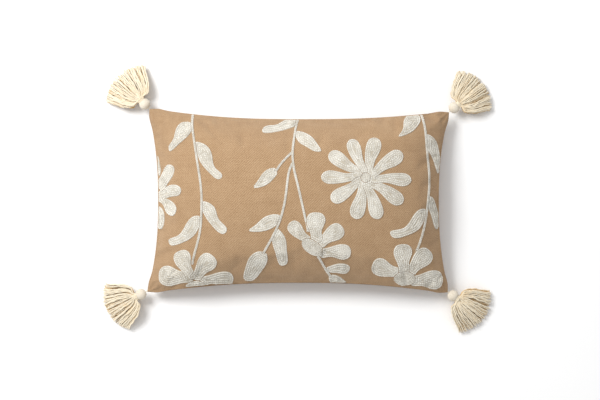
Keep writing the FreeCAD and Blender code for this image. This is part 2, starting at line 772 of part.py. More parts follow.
stitched("daisy_centre", [daisy_centre])
stitched("daisy_petals", daisy_petals)
stitched("left_vine_stem", left_stem)
stitched("left_vine_leaves", left_leaves)
stitched("bottom_left_centre", [left_centre])
stitched("bottom_left_petals", left_foot)
stitched("left_edge_flower", edge_flower)
stitched("centre_vine_stems", centre_stems)
stitched("centre_vine_leaves", centre_leaves)
stitched("bottom_middle_centre", [middle_centre])
stitched("bottom_middle_petals", middle_petals)
stitched("bottom_middle_stem", middle_stem)
stitched("bottom_middle_leaves", middle_leaves)
stitched("right_vine_stem", right_stem)
stitched("right_vine_leaves", right_leaves)
stitched("bottom_right_centre", [right_centre] + right_stub)
stitched("bottom_right_petals", right_foot)

# ---------------------------------------------------------------- checks and export

doc.recompute()
for item in parts:
    if "Invalid" in item.State or "Error" in item.State:
        raise RuntimeError(item.Label + " did not compute")
    if item.Shape.isNull() or not item.Shape.isValid() or not item.Shape.Solids:
        raise RuntimeError(item.Label + " has no valid solid")

os.makedirs("parts", exist_ok=True)
for item in parts:
    item.Shape.exportStep(os.path.join("parts", item.Label + ".step"))
    print(item.Label, len(item.Shape.Solids), round(item.Shape.Volume / 1000, 3))
print(len(parts), "parts")
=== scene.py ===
import math
import random

import bmesh
import bpy
import numpy as np
from mathutils import Matrix, Vector, noise
from mathutils.bvhtree import BVHTree


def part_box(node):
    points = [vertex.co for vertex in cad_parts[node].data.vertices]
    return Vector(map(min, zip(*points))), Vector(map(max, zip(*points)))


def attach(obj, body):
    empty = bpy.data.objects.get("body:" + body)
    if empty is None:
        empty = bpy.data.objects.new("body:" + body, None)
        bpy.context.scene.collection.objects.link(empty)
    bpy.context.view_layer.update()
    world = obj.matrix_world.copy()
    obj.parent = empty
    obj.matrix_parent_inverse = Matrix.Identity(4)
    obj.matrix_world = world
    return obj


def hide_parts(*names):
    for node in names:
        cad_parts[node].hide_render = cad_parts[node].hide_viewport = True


# Throw pillow: zipped and embroidered cover, stuffed insert, concealed zip, four corner tassels.
# Metres, +Z up. The pillow lies flat on its back, its long sides along X, the zip in the seam at -Y.

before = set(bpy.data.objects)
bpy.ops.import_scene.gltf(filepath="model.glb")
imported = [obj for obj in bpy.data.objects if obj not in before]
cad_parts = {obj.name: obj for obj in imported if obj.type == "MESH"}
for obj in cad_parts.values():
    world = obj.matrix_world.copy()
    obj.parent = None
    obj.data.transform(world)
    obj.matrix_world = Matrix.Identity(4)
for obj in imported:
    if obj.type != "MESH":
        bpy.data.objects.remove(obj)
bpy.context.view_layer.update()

MM = 0.001
CORNERS = {"tl": (-1, 1), "tr": (1, 1), "bl": (-1, -1), "br": (1, -1)}
HEADINGS = {"tl": 134, "tr": 40, "bl": 207, "br": -36}   # degrees, the way each tassel points
CAMERA_PLACE = (2.45 * MM, 1.6 * MM, 2773 * MM)
WORLD_STRENGTH = 0.56

# ------------------------------------------------------------------ camera, light, floor


def place_camera():
    lens = bpy.data.cameras.new("Camera")
    lens.lens = 100
    lens.sensor_width = 36
    lens.clip_end = 20
    camera = bpy.data.objects.new("Camera", lens)
    camera.location = CAMERA_PLACE
    bpy.context.scene.collection.objects.link(camera)
    bpy.context.scene.camera = camera


def soft_light(name, place, size, watts):
    lamp = bpy.data.lights.new(name, "AREA")
    lamp.shape = "DISK"
    lamp.size = size
    lamp.energy = watts
    holder = bpy.data.objects.new(name, lamp)
    holder.location = place
    holder.rotation_euler = (-Vector(place)).to_track_quat("-Z", "Y").to_euler()
    bpy.context.scene.collection.objects.link(holder)


def set_studio():
    soft_light("Key", (-1.36, 1.05, 2.16), 1.2, 60)
    soft_light("Fill", (-0.3, 1.1, 2.75), 2.2, 10)
    world = bpy.data.worlds.new("Studio")
    bpy.context.scene.world = world
    world.use_nodes = True
    world.node_tree.nodes["Background"].inputs["Color"].default_value = (1, 1, 1, 1)
    world.node_tree.nodes["Background"].inputs["Strength"].default_value = WORLD_STRENGTH
    bpy.context.scene.view_settings.view_transform = "Standard"


def link_mesh(name, bm, smooth=True):
    mesh = bpy.data.meshes.new(name)
    bm.to_mesh(mesh)
    bm.free()
    piece = bpy.data.objects.new(name, mesh)
    bpy.context.scene.collection.objects.link(piece)
    if smooth:
        mesh.shade_smooth()
    return piece


place_camera()
set_studio()

# ------------------------------------------------------------------ node helpers


def new_material(name):
    material = bpy.data.materials.new(name)
    material.use_nodes = True
    return material, material.node_tree, material.node_tree.nodes["Principled BSDF"]


class Wires:
    """Adds nodes to a tree and joins them up by socket name."""

    def __init__(self, tree):
        self.tree = tree

    def add(self, kind, inputs=None, **settings):
        node = self.tree.nodes.new("ShaderNode" + kind)
        for key, value in settings.items():
            setattr(node, key, value)
        for key, value in (inputs or {}).items():
            if isinstance(value, bpy.types.NodeSocket):
                self.tree.links.new(value, node.inputs[key])
            else:
                node.inputs[key].default_value = value
        return node

    def math(self, operation, a, b=0.0, c=0.0):
        return self.add("Math", {0: a, 1: b, 2: c}, operation=operation).outputs[0]

    def ramp(self, value, stops):
        node = self.add("ValToRGB", {"Fac": value})
        band = node.color_ramp
        band.elements[0].position, band.elements[0].color = stops[0][0], (*stops[0][1], 1)
        band.elements[1].position, band.elements[1].color = stops[-1][0], (*stops[-1][1], 1)
        for place, colour in stops[1:-1]:
            band.elements.new(place).color = (*colour, 1)
        return node.outputs["Color"]

    def bump(self, height, strength, distance):
        node = self.add("Bump", {"Height": height, "Strength": strength, "Distance": distance})
        return node.outputs["Normal"]

    def set(self, node, **values):
        for key, value in values.items():
            key = key.replace("_", " ")
            if isinstance(value, bpy.types.NodeSocket):
                self.tree.links.new(value, node.inputs[key])
            else:
                node.inputs[key].default_value = value


def new_group(name, inputs, outputs):
    group = bpy.data.node_groups.new(name, "ShaderNodeTree")
    for label, kind, value in inputs:
        kind = "NodeSocket" + kind
        socket = group.interface.new_socket(label, in_out="INPUT", socket_type=kind)
        if value is not None:
            socket.default_value = value
    for label, kind in outputs:
        group.interface.new_socket(label, in_out="OUTPUT", socket_type="NodeSocket" + kind)
    wires = Wires(group)
    return group, wires, group.nodes.new("NodeGroupInput"), group.nodes.new("NodeGroupOutput")


def weave_group():
    """Twill cloth: slanting ribs over crossed yarns, a grain, and slubs that run mostly one way."""
    group, w, inp, out = new_group("Woven twill", [
        ("Flat", "Vector", None),
        ("Pitch", "Float", 0.0011),
        ("Slub", "Float", 1.0),
        ("Twill", "Float", 0.0029),
    ], [
        ("Height", "Float"), ("Rib", "Float"), ("Slub", "Float"), ("Mottle", "Float"), ("Grain", "Float"),
    ])
    flat = inp.outputs["Flat"]
    split = w.add("SeparateXYZ", {0: flat})
    x, y = split.outputs[0], split.outputs[1]
    per = w.math("DIVIDE", 2 * math.pi, inp.outputs["Pitch"])
    wobble = w.add("TexNoise", {"Vector": flat, "Scale": 160.0, "Detail": 2.0}).outputs["Fac"]
    shift = w.math("MULTIPLY", wobble, 2.6)
    warp = w.math("SINE", w.math("ADD", w.math("MULTIPLY", x, per), shift))
    weft = w.math("SINE", w.math("ADD", w.math("MULTIPLY", y, per), shift))
    slope = w.math("DIVIDE", math.sqrt(2) * math.pi, inp.outputs["Twill"])
    slant = w.math("MULTIPLY", w.math("SUBTRACT", x, y), slope)
    rib = w.math("SINE", w.math("ADD", slant, w.math("MULTIPLY", wobble, 3.0)))
    cross = w.math("MULTIPLY", warp, weft)
    height = w.math("MULTIPLY_ADD", rib, 0.5, w.math("MULTIPLY", cross, 0.5))
    long_way = w.add("Mapping", {"Vector": flat, "Scale": (9.0, 520.0, 1.0)}).outputs[0]
    streak = w.add("TexNoise", {"Vector": long_way, "Scale": 1.0, "Detail": 3.0, "Roughness": 0.6})
    thick = w.math("SMOOTH_MIN", w.math("SUBTRACT", streak.outputs["Fac"], 0.5), 0.4, 0.1)
    slub = w.math("MULTIPLY", thick, inp.outputs["Slub"])
    across = w.add("Mapping", {"Vector": flat, "Scale": (480.0, 14.0, 1.0)}).outputs[0]
    thin = w.add("TexNoise", {"Vector": across, "Scale": 1.0, "Detail": 2.0}).outputs["Fac"]
    both = w.math("MULTIPLY_ADD", w.math("SUBTRACT", thin, 0.5), 0.45, slub)
    mottle = w.add("TexNoise", {"Vector": flat, "Scale": 38.0, "Detail": 4.0, "Roughness": 0.62})
    grain = w.add("TexNoise", {"Vector": flat, "Scale": 560.0, "Detail": 1.0}).outputs["Fac"]
    w.tree.links.new(w.math("ADD", height, w.math("MULTIPLY", both, 2.0)), out.inputs["Height"])
    w.tree.links.new(grain, out.inputs["Grain"])
    w.tree.links.new(rib, out.inputs["Rib"])
    w.tree.links.new(both, out.inputs["Slub"])
    w.tree.links.new(mottle.outputs["Fac"], out.inputs["Mottle"])
    return group


def yarn_group():
    """Spun yarn: a fine fuzz and a slow drift from pale to warm."""
    group, w, inp, out = new_group("Spun yarn", [
        ("Place", "Vector", None),
        ("Fuzz", "Float", 900.0),
        ("Drift", "Float", 30.0),
    ], [("Fuzz", "Float"), ("Drift", "Float")])
    fuzz = w.add("TexNoise", {"Vector": inp.outputs["Place"], "Scale": inp.outputs["Fuzz"], "Detail": 2.0})
    drift = w.add("TexNoise", {"Vector": inp.outputs["Place"], "Scale": inp.outputs["Drift"], "Detail": 3.0})
    w.tree.links.new(fuzz.outputs["Fac"], out.inputs["Fuzz"])
    w.tree.links.new(drift.outputs["Fac"], out.inputs["Drift"])
    return group


WEAVE = weave_group()
YARN = yarn_group()


def use_group(w, group, **inputs):
    node = w.tree.nodes.new("ShaderNodeGroup")
    node.node_tree = group
    for key, value in inputs.items():
        if isinstance(value, bpy.types.NodeSocket):
            w.tree.links.new(value, node.inputs[key])
        else:
            node.inputs[key].default_value = value
    return node.outputs


def cloth_material(name, dark, mid, pale, map_name=None, pitch=0.0011, slub=1.0):
    """Matt woven cloth from three tones, read on a named UV map or in the piece's own space."""
    material, tree, shader = new_material(name)
    w = Wires(tree)
    if map_name:
        flat = w.add("UVMap", uv_map=map_name).outputs[0]
    else:
        flat = w.add("TexCoord").outputs["Object"]
    cloth = use_group(w, WEAVE, Flat=flat, Pitch=pitch, Slub=slub)
    tone = w.math("MULTIPLY_ADD", cloth["Rib"], 0.17, w.math("MULTIPLY_ADD", cloth["Slub"], 0.26, 0.5))
    tone = w.math("MULTIPLY_ADD", w.math("SUBTRACT", cloth["Mottle"], 0.5), 0.35, tone)
    tone = w.math("MULTIPLY_ADD", w.math("SUBTRACT", cloth["Grain"], 0.5), 0.9, tone)
    w.set(shader, Base_Color=w.ramp(tone, [(0.15, dark), (0.5, mid), (0.85, pale)]),
          Roughness=0.92, Sheen_Weight=0.12, Sheen_Roughness=0.6,
          Normal=w.bump(cloth["Height"], 0.55, 0.25 * MM))
    shader.inputs["Specular IOR Level"].default_value = 0.15
    return material


def yarn_material(name, deep, pale, fuzz=900.0, drift=30.0, bump=0.4, shade=None):
    """Yarn finish; a stored value, 0 to 1, of painted shade and random tone takes it towards the deep
    colour.
    """
    material, tree, shader = new_material(name)
    w = Wires(tree)
    place = w.add("TexCoord").outputs["Object"]
    spun = use_group(w, YARN, Place=place, Fuzz=fuzz, Drift=drift)
    share = w.math("MULTIPLY_ADD", spun["Fuzz"], 0.5, w.math("MULTIPLY", spun["Drift"], 0.6))
    # the stored value holds painted shade and random tone, and takes the yarn towards the deep colour
    if shade:
        stored = w.add("Attribute", attribute_name=shade).outputs["Fac"]
        share = w.math("SUBTRACT", share, stored)
    colour = w.ramp(share, [(0.1, deep), (0.62, pale)])
    w.set(shader, Base_Color=colour, Roughness=0.88, Sheen_Weight=0.2, Sheen_Roughness=0.5,
          Normal=w.bump(spun["Fuzz"], bump, 0.0003))
    shader.inputs["Specular IOR Level"].default_value = 0.2
    return material


def floor_material():
    material, tree, shader = new_material("Floor")
    w = Wires(tree)
    place = w.add("TexCoord").outputs["Object"]
    grain = w.add("TexNoise", {"Vector": place, "Scale": 3.0, "Detail": 2.0}).outputs["Fac"]
    tone = w.ramp(grain, [(0.3, (0.93, 0.93, 0.93)), (0.7, (0.95, 0.95, 0.95))])
    w.set(shader, Base_Color=tone, Roughness=0.95)
    shader.inputs["Specular IOR Level"].default_value = 0.0
    return material


def lay_floor():
    bm = bmesh.new()
    bmesh.ops.create_grid(bm, x_segments=1, y_segments=1, size=6)
    floor = link_mesh("floor", bm, smooth=False)
    floor.data.materials.append(floor_material())


lay_floor()

# ------------------------------------------------------------------ stuffed cloth

HALF_LONG = 249 * MM
HALF_WIDE = 153 * MM
END_DRAW = 19.5 * MM      # how far each short side pulls in at its middle, and its curve's power
END_CURVE = 2.3
SIDE_DRAW = 19.2 * MM     # the same for the long sides
SIDE_CURVE = 2.5
SEAM_Z = 48 * MM
CORNER_DROP = 25 * MM
CORNER_BLUNT = 2.6 * MM
EAR_OUT = 1.5 * MM
FRONT_LOFT = 65.6 * MM
BACK_LOFT = 62 * MM
WIDEST = 76               # degrees: the grid's rows crowd together towards the seam
# millimetres: how far each corner is moved off the rectangle, and the seam just beside it
SKEW = {"tl": (0.6, 1.4), "tr": (1.7, -4), "bl": (-2.8, 0.7), "br": (-0.6, -0.3)}
LEAN = {"tl": (-1.8, 0), "tr": (0, 0), "bl": (1.2, -1.8), "br": (1.6, -1.1)}
LEVEL = 0.66              # share of the long seam that stays level, for the zip
MOUTH_HALF = 172 * MM
MOUTH_FADE = 8 * MM
LIP_GAP = 0.9 * MM
PIN_REACH = 12 * MM
FLOOR_GAP = 0.1 * MM
SIMULATED_FRAMES = 20


def ear(w, half):
    """How far the edge stands out a little way from a corner, where the seam turns."""
    return EAR_OUT * math.exp(-(((1 - abs(w)) * half - 19 * MM) / (12 * MM)) ** 2)


def seam_point(u, v):
    """Point of the surface midway between front and back; u and v run from -1 to 1."""
    x = u * (HALF_LONG - END_DRAW * (1 - abs(v) ** END_CURVE))
    y = v * (HALF_WIDE - SIDE_DRAW * (1 - abs(u) ** SIDE_CURVE))
    blunt = CORNER_BLUNT * abs(u * v) ** 17
    corner = ("b", "t")[v > 0] + ("l", "r")[u > 0]
    shift, lean = SKEW[corner], LEAN[corner]
    beside = MM * (u * v) ** 2 * (1 - abs(u * v) ** 6)
    x += lean[0] * beside + shift[0] * MM * (u * v) ** 2
    y += lean[1] * beside + shift[1] * MM * (u * v) ** 2
    x += math.copysign(1, u) * (ear(v, HALF_WIDE) * u * u - blunt)
    y += math.copysign(1, v) * (ear(u, HALF_LONG) * v * v - blunt)
    sag = (max(0.0, (abs(u) - LEVEL) / (1 - LEVEL)) * abs(v)) ** 1.5
    return Vector((x, y, SEAM_Z - CORNER_DROP * sag))


def bulge(u, v):
    return max(0.0, (1 - u * u) * (1 - v * v)) ** 0.6


def eased(t):
    """Moves even grid lines towards the edges, where the cloth turns most."""
    return math.sin(t * math.radians(WIDEST)) / math.sin(math.radians(WIDEST))


def smooth(t):
    t = min(1.0, max(0.0, t))
    return t * t * (3 - 2 * t)


def mouth_gap(x):
    """Share of the zip's opening at x: 1 along the zip, 0 past its ends."""
    return smooth((MOUTH_HALF - abs(x)) / MOUTH_FADE)


def pucker(u, v, side):
    """Small gathers along the seams, fading into the panel."""
    along_x, along_y = (1 - abs(v)) * HALF_WIDE, (1 - abs(u)) * HALF_LONG
    x, y = u * HALF_LONG, v * HALF_WIDE
    near_long = math.exp(-along_x / (17 * MM)) * (1 - math.exp(-along_x / (2.5 * MM)))
    near_end = math.exp(-along_y / (17 * MM)) * (1 - math.exp(-along_y / (2.5 * MM)))
    seed = 11.3 * side + 3.1 * math.copysign(1, v) + 5.7 * math.copysign(1, u)
    rise = near_long * noise.noise((x / (19 * MM), seed, along_x / (60 * MM)))
    rise += near_end * noise.noise((seed, y / (19 * MM), along_y / (60 * MM)))
    corner = math.exp(-math.hypot(along_x, along_y) / (48 * MM))
    turn = math.atan2(along_x, along_y)
    rise += 0.9 * corner * math.sin(turn * 9 + seed) * (1 - math.exp(-min(along_x, along_y) / (4 * MM)))
    broad = noise.noise((x / 0.11, y / 0.09, seed * 0.1)) * bulge(u, v)
    return (2.0 * rise + 1.3 * broad) * MM


def panel(bm, steps, side, inset, loft, flange, rough):
    """One side of a stuffed form, as a grid drawn over the seam's outline; side is 1 up, -1 down."""
    new = bmesh.ops.create_grid(bm, x_segments=steps[0], y_segments=steps[1], size=1)["verts"]
    keep_u, keep_v = 1 - inset / HALF_LONG, 1 - inset / HALF_WIDE
    edge_u, edge_v = 1 - flange / HALF_LONG, 1 - flange / HALF_WIDE
    for vert in new:
        u, v = eased(vert.co.x), eased(vert.co.y)
        base = seam_point(u * keep_u, v * keep_v)
        in_u, in_v = (1 - abs(u)) * HALF_LONG, (1 - abs(v)) * HALF_WIDE
        depth = min(in_u, in_v)
        lip = 1.1 * MM * (1 - math.exp(-depth / (0.7 * MM))) if flange else 0.0
        rise = loft * bulge(min(1, abs(u) / edge_u), min(1, abs(v) / edge_v))
        if rough:
            rise += pucker(u, v, side) * min(1, depth / (3 * MM))
            rise *= smooth(math.hypot(in_u, in_v) / (16 * MM))
        rise += lip
        base.z += side * rise
        vert.co = base
    return new


def stuffed_form(name, steps, inset, up, down, floor_at, flange=0.0, mouth=False, rough=False):
    """Closed form of a front and a back panel that share one seam, flat where it rests."""
    bm = bmesh.new()
    front = panel(bm, steps, 1, inset, up, flange, rough)
    back_side = panel(bm, steps, -1, inset, down, flange, rough)
    back = set(back_side)
    bmesh.ops.reverse_faces(bm, faces=[f for f in bm.faces if f.verts[0] in back])
    if mouth:
        for side, verts in ((1, front), (-1, back_side)):
            for vert in verts:
                if vert.is_boundary and vert.co.y < -0.1:
                    vert.co.z += side * LIP_GAP * mouth_gap(vert.co.x)
    for vert in back_side:
        rest_on(vert, floor_at)
    bmesh.ops.remove_doubles(bm, verts=[v for v in bm.verts if v.is_boundary], dist=0.02 * MM)
    if mouth:
        pocket(bm)
    bmesh.ops.recalc_face_normals(bm, faces=bm.faces)
    return link_mesh(name, bm)


def rest_on(vert, floor_at):
    """Flattens the underside where it rests, with a soft turn up from the floor."""
    low = vert.co.z - floor_at
    if low < 12 * MM:
        vert.co.z = floor_at + 0.5 * (low + math.sqrt(low * low + (3 * MM) ** 2)) - 0.4 * MM
    vert.co.z = max(vert.co.z, floor_at)


def pocket(bm):
    """Turns the two lips of the zip's opening in, round a shallow pocket for the zip."""
    rim = [e for e in bm.edges if e.is_boundary]
    # each step in: how far y moves or where it goes to, and the pocket's half height there
    for step, (y_to, height) in enumerate(((1.4, 0.8), (-134.4, 3.0), (-112.6, 3.0), (-112.2, 0.0))):
        made = bmesh.ops.extrude_edge_only(bm, edges=rim)["geom"]
        verts = [g for g in made if isinstance(g, bmesh.types.BMVert)]
        rim = [g for g in made if isinstance(g, bmesh.types.BMEdge)]
        for vert in verts:
            side = 1 if vert.co.z > SEAM_Z else -1
            if step == 0:
                vert.co.y += y_to * MM
            elif step == 1 and abs(vert.co.x) > 0.1:
                vert.co.y = min(vert.co.y + 2.6 * MM, y_to * MM)
            elif step == 1:
                vert.co.y += 1.2 * MM
            else:
                vert.co.y = y_to * MM
            vert.co.z = SEAM_Z + side * height * MM * mouth_gap(vert.co.x)
    rim_verts = list(dict.fromkeys(v for e in rim for v in e.verts))
    bmesh.ops.remove_doubles(bm, verts=rim_verts, dist=0.05 * MM)


def stuff(piece, pressure, most, loose):
    """Blows the cloth up against its filling; seam and pocket stay where they are."""
    start = np.array([v.co for v in piece.data.vertices], float)
    pins = piece.vertex_groups.new(name="Pins")
    held = [v.index for v in piece.data.vertices if pinned(v.co)]
    pins.add(held, 1.0, "REPLACE")
    cloth = piece.modifiers.new("Stuffing", "CLOTH")
    cloth.settings.quality = 6
    cloth.settings.mass = 0.3
    cloth.settings.tension_stiffness = 22
    cloth.settings.compression_stiffness = 22
    cloth.settings.shear_stiffness = 8
    cloth.settings.bending_stiffness = 0.6
    cloth.settings.use_pressure = True
    cloth.settings.uniform_pressure_force = pressure
    cloth.settings.shrink_min = -loose
    cloth.settings.effector_weights.gravity = 0
    cloth.settings.vertex_group_mass = "Pins"
    cloth.collision_settings.use_collision = False
    cloth.point_cache.frame_start = 1
    cloth.point_cache.frame_end = SIMULATED_FRAMES
    scene = bpy.context.scene
    for frame_number in range(1, SIMULATED_FRAMES + 1):
        scene.frame_set(frame_number)
    done = piece.evaluated_get(bpy.context.evaluated_depsgraph_get()).to_mesh()
    moved = np.array([v.co for v in done.vertices], float)
    piece.modifiers.remove(cloth)
    piece.vertex_groups.remove(pins)
    scene.frame_set(1)
    step = moved - start
    length = np.linalg.norm(step, axis=1, keepdims=True)
    step *= np.minimum(1.0, most / np.maximum(length, 1e-9))
    end = start + step
    end[:, 2] = np.maximum(end[:, 2], FLOOR_GAP)
    piece.data.vertices.foreach_set("co", end.astype(np.float32).ravel())
    piece.data.update()


def pinned(co):
    """True on the seam's flange, in the zip's pocket and at the corners' cores."""
    if co.y < -110 * MM and abs(co.z - SEAM_Z) < 3.6 * MM and abs(co.x) < 0.18:
        return True
    for u, v in CORNERS.values():
        if (co.xy - seam_point(u, v).xy).length < PIN_REACH:
            return True
    return edge_distance(co) < 3.2 * MM


def edge_distance(co):
    """Distance in from the seam's outline, as seen from above."""
    u = co.x / HALF_LONG
    v = co.y / HALF_WIDE
    for _ in range(4):
        u = co.x / (HALF_LONG - END_DRAW * (1 - min(1, abs(v)) ** END_CURVE))
        v = co.y / (HALF_WIDE - SIDE_DRAW * (1 - min(1, abs(u)) ** SIDE_CURVE))
    return min((1 - abs(u)) * HALF_LONG, (1 - abs(v)) * HALF_WIDE)


def flat_map(piece, name):
    """Stores how far each point lies along the cloth, so that the weave keeps its size on the slopes."""
    mesh = piece.data
    layer = mesh.uv_layers.new(name=name)
    co = np.array([v.co for v in mesh.vertices], float)
    loops = np.empty(len(mesh.loops), int)
    mesh.loops.foreach_get("vertex_index", loops)
    place = co[loops]
    along_x = place[:, 0] * (1 + 0.22 * (np.abs(place[:, 0]) / HALF_LONG) ** 6)
    along_y = place[:, 1] * (1 + 0.30 * (np.abs(place[:, 1]) / (134 * MM)) ** 6)
    layer.data.foreach_set("uv", np.stack([along_x, along_y], 1).astype(np.float32).ravel())


def make_cover():
    """Zipped cover, blown up by the simulation."""
    cover = stuffed_form("pillow_cover", (150, 92), 0, FRONT_LOFT, BACK_LOFT, FLOOR_GAP,
                         flange=2.4 * MM, mouth=True, rough=True)
    stuff(cover, pressure=4.0, most=3.5 * MM, loose=0.012)
    flat_map(cover, "Cloth")
    tan = cloth_material("Tan woven cloth", (0.275, 0.163, 0.082), (0.412, 0.262, 0.143),
                         (0.525, 0.365, 0.222), "Cloth")
    cover.data.materials.append(tan)
    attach(cover, "pillow")
    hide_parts("cover_front", "cover_back")
    return cover


def make_insert():
    """Stuffed insert, pushed back a little from the zip."""
    insert = stuffed_form("pillow_insert", (60, 38), 17 * MM, 58 * MM, 52 * MM, 6 * MM)
    bm = bmesh.new()
    bm.from_mesh(insert.data)
    for vert in bm.verts:
        if vert.co.y < -100 * MM:
            vert.co.y = -100 * MM + (vert.co.y + 100 * MM) * 0.5
    bm.to_mesh(insert.data)
    bm.free()
    muslin = cloth_material("Muslin", (0.62, 0.58, 0.50), (0.72, 0.69, 0.62), (0.80, 0.77, 0.70),
                            pitch=0.0008, slub=0.4)
    insert.data.materials.append(muslin)
    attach(insert, "pillow")
    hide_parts("insert_case_front", "insert_case_back", "insert_fill")


cover = make_cover()
make_insert()

# ------------------------------------------------------------------ embroidery

STITCHED = ["daisy_centre", "daisy_petals", "left_vine_stem", "left_vine_leaves", "bottom_left_centre",
            "bottom_left_petals", "left_edge_flower", "centre_vine_stems", "centre_vine_leaves",
            "bottom_middle_centre", "bottom_middle_petals", "bottom_middle_stem", "bottom_middle_leaves",
            "right_vine_stem", "right_vine_leaves", "bottom_right_centre", "bottom_right_petals"]
LAYER_EDGE = 0.35 * MM    # how far in from a patch's outline its thin layer starts
cover_tree = BVHTree.FromObject(cover, bpy.context.evaluated_depsgraph_get())


def on_cover(x, y):
    """Point and normal of the finished cloth under a place in plan."""
    hit, normal, _, _ = cover_tree.ray_cast(Vector((x, y, 0.4)), Vector((0, 0, -1)))
    if hit is None or normal.z < 0.02:
        near, normal, _, _ = cover_tree.find_nearest(Vector((x, y, SEAM_Z + 2 * MM)))
        hit = near
    return hit, normal


def take_first(things):
    """Takes out the key that was put in first, so that the order is the same on every run."""
    first = next(iter(things))
    del things[first]
    return first


def outlines(node):
    """Plan outline of each separate patch of a node: an array of segments, one row per segment."""
    bm = bmesh.new()
    bm.from_mesh(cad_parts[node].data)
    bmesh.ops.remove_doubles(bm, verts=bm.verts, dist=0.002 * MM)
    bm.normal_update()
    left = dict.fromkeys(f for f in bm.faces if f.normal.z > 0.12)
    found = []
    while left:
        patch, open_faces = {}, [take_first(left)]
        while open_faces:
            face = open_faces.pop()
            patch[face] = True
            for edge in face.edges:
                for other in edge.link_faces:
                    if other in left:
                        del left[other]
                        open_faces.append(other)
        rim = [e for f in patch for e in f.edges if sum(g in patch for g in e.link_faces) == 1]
        segments = np.array([(*e.verts[0].co.xy, *e.verts[1].co.xy) for e in rim])
        if len(segments) > 5 and np.ptp(segments[:, [0, 2]]) + np.ptp(segments[:, [1, 3]]) > 5 * MM:
            found.append(segments)
    bm.free()
    return found


def depth_inside(points, segments):
    """Distance of each point from the outline, positive inside it."""
    a, b = segments[:, :2], segments[:, 2:]
    run = b - a
    square = np.maximum((run ** 2).sum(1), 1e-18)
    best = np.full(len(points), 1e9)
    inside = np.zeros(len(points), int)
    for start, along, size in zip(a, run, square):
        t = np.clip(((points - start) @ along) / size, 0, 1)
        gap = points - start - t[:, None] * along
        best = np.minimum(best, (gap ** 2).sum(1))
        crosses = (start[1] > points[:, 1]) != (start[1] + along[1] > points[:, 1])
        if crosses.any():
            where = start[0] + along[0] * (points[:, 1] - start[1]) / (along[1] or 1e-18)
            inside += crosses & (points[:, 0] < where)
    return np.where(inside % 2 == 1, 1, -1) * np.sqrt(best)


def depth_sheet(segments, cell):
    """Flat grid over a patch whose height is the distance in from the outline."""
    low = segments.reshape(-1, 2).min(0) - 2 * cell
    high = segments.reshape(-1, 2).max(0) + 2 * cell
    size = high - low
    bm = bmesh.new()
    across, along = (max(2, int(length / cell)) for length in size)
    bmesh.ops.create_grid(bm, x_segments=across, y_segments=along, size=0.5)
    bmesh.ops.scale(bm, vec=(size[0], size[1], 1), verts=bm.verts)
    bmesh.ops.translate(bm, vec=(*((low + high) / 2), 0), verts=bm.verts)
    bmesh.ops.triangulate(bm, faces=bm.faces)
    points = np.array([v.co.xy for v in bm.verts])
    for vert, depth in zip(bm.verts, depth_inside(points, segments)):
        vert.co.z = depth
    return bm


def grow(line, edges):
    """Carries a line on from its last point, along the edges that are left."""
    growing = True
    while growing:
        growing = False
        for other in line[-1].link_edges:
            if other in edges:
                del edges[other]
                line.append(other.other_vert(line[-1]))
                growing = True
                break


def rows_at(sheet, level):
    """Lines of the sheet at one depth, each as a list of plan points."""
    cut = sheet.copy()
    geom = list(cut.verts) + list(cut.edges) + list(cut.faces)
    made = bmesh.ops.bisect_plane(cut, geom=geom, dist=1e-7, plane_co=(0, 0, level), plane_no=(0, 0, 1))
    edges = dict.fromkeys(g for g in made["geom_cut"] if isinstance(g, bmesh.types.BMEdge))
    lines = []
    while edges:
        line = list(take_first(edges).verts)
        grow(line, edges)
        line.reverse()
        grow(line, edges)
        lines.append([v.co.xy.copy() for v in line])
    cut.free()
    return lines


def spaced(line, step):
    """Points at even steps along a line, with the direction there."""
    co = np.array(line)
    lengths = np.concatenate([[0], np.cumsum(np.linalg.norm(np.diff(co, axis=0), axis=1))])
    total = lengths[-1]
    if total < 2 * step:
        return []
    count = max(3, round(total / step))
    at = (np.arange(count) + 0.5) * total / count
    x, y = np.interp(at, lengths, co[:, 0]), np.interp(at, lengths, co[:, 1])
    reach = 0.9 * MM
    ahead = np.minimum(at + reach, total), np.maximum(at - reach, 0)
    dx = np.interp(ahead[0], lengths, co[:, 0]) - np.interp(ahead[1], lengths, co[:, 0])
    dy = np.interp(ahead[0], lengths, co[:, 1]) - np.interp(ahead[1], lengths, co[:, 1])
    return list(zip(x, y, dx, dy, [total / count] * count))


def chain_link():
    """One loop of chain stitch, narrow where it starts and round where the next one holds it down."""
    bm = bmesh.new()
    ring = bmesh.ops.create_circle(bm, segments=4, radius=0.52)["verts"]
    bmesh.ops.rotate(bm, matrix=Matrix.Rotation(math.radians(90), 3, "X"), verts=ring)
    bmesh.ops.translate(bm, vec=(1.2, 0, 0), verts=ring)
    bmesh.ops.spin(bm, geom=bm.verts[:] + bm.edges[:], axis=(0, 0, 1), cent=(0, 0, 0),
                   angle=2 * math.pi, steps=8, use_merge=True)
    bmesh.ops.remove_doubles(bm, verts=bm.verts, dist=0.001)
    bmesh.ops.recalc_face_normals(bm, faces=bm.faces)
    for vert in bm.verts:
        x, y, z = vert.co
        vert.co = (x * 1.35, y * (0.62 + 0.12 * x), z * 0.85 + 0.12 * x)
    mesh = bpy.data.meshes.new("chain_link")
    bm.to_mesh(mesh)
    bm.free()
    return mesh


LINK = chain_link()


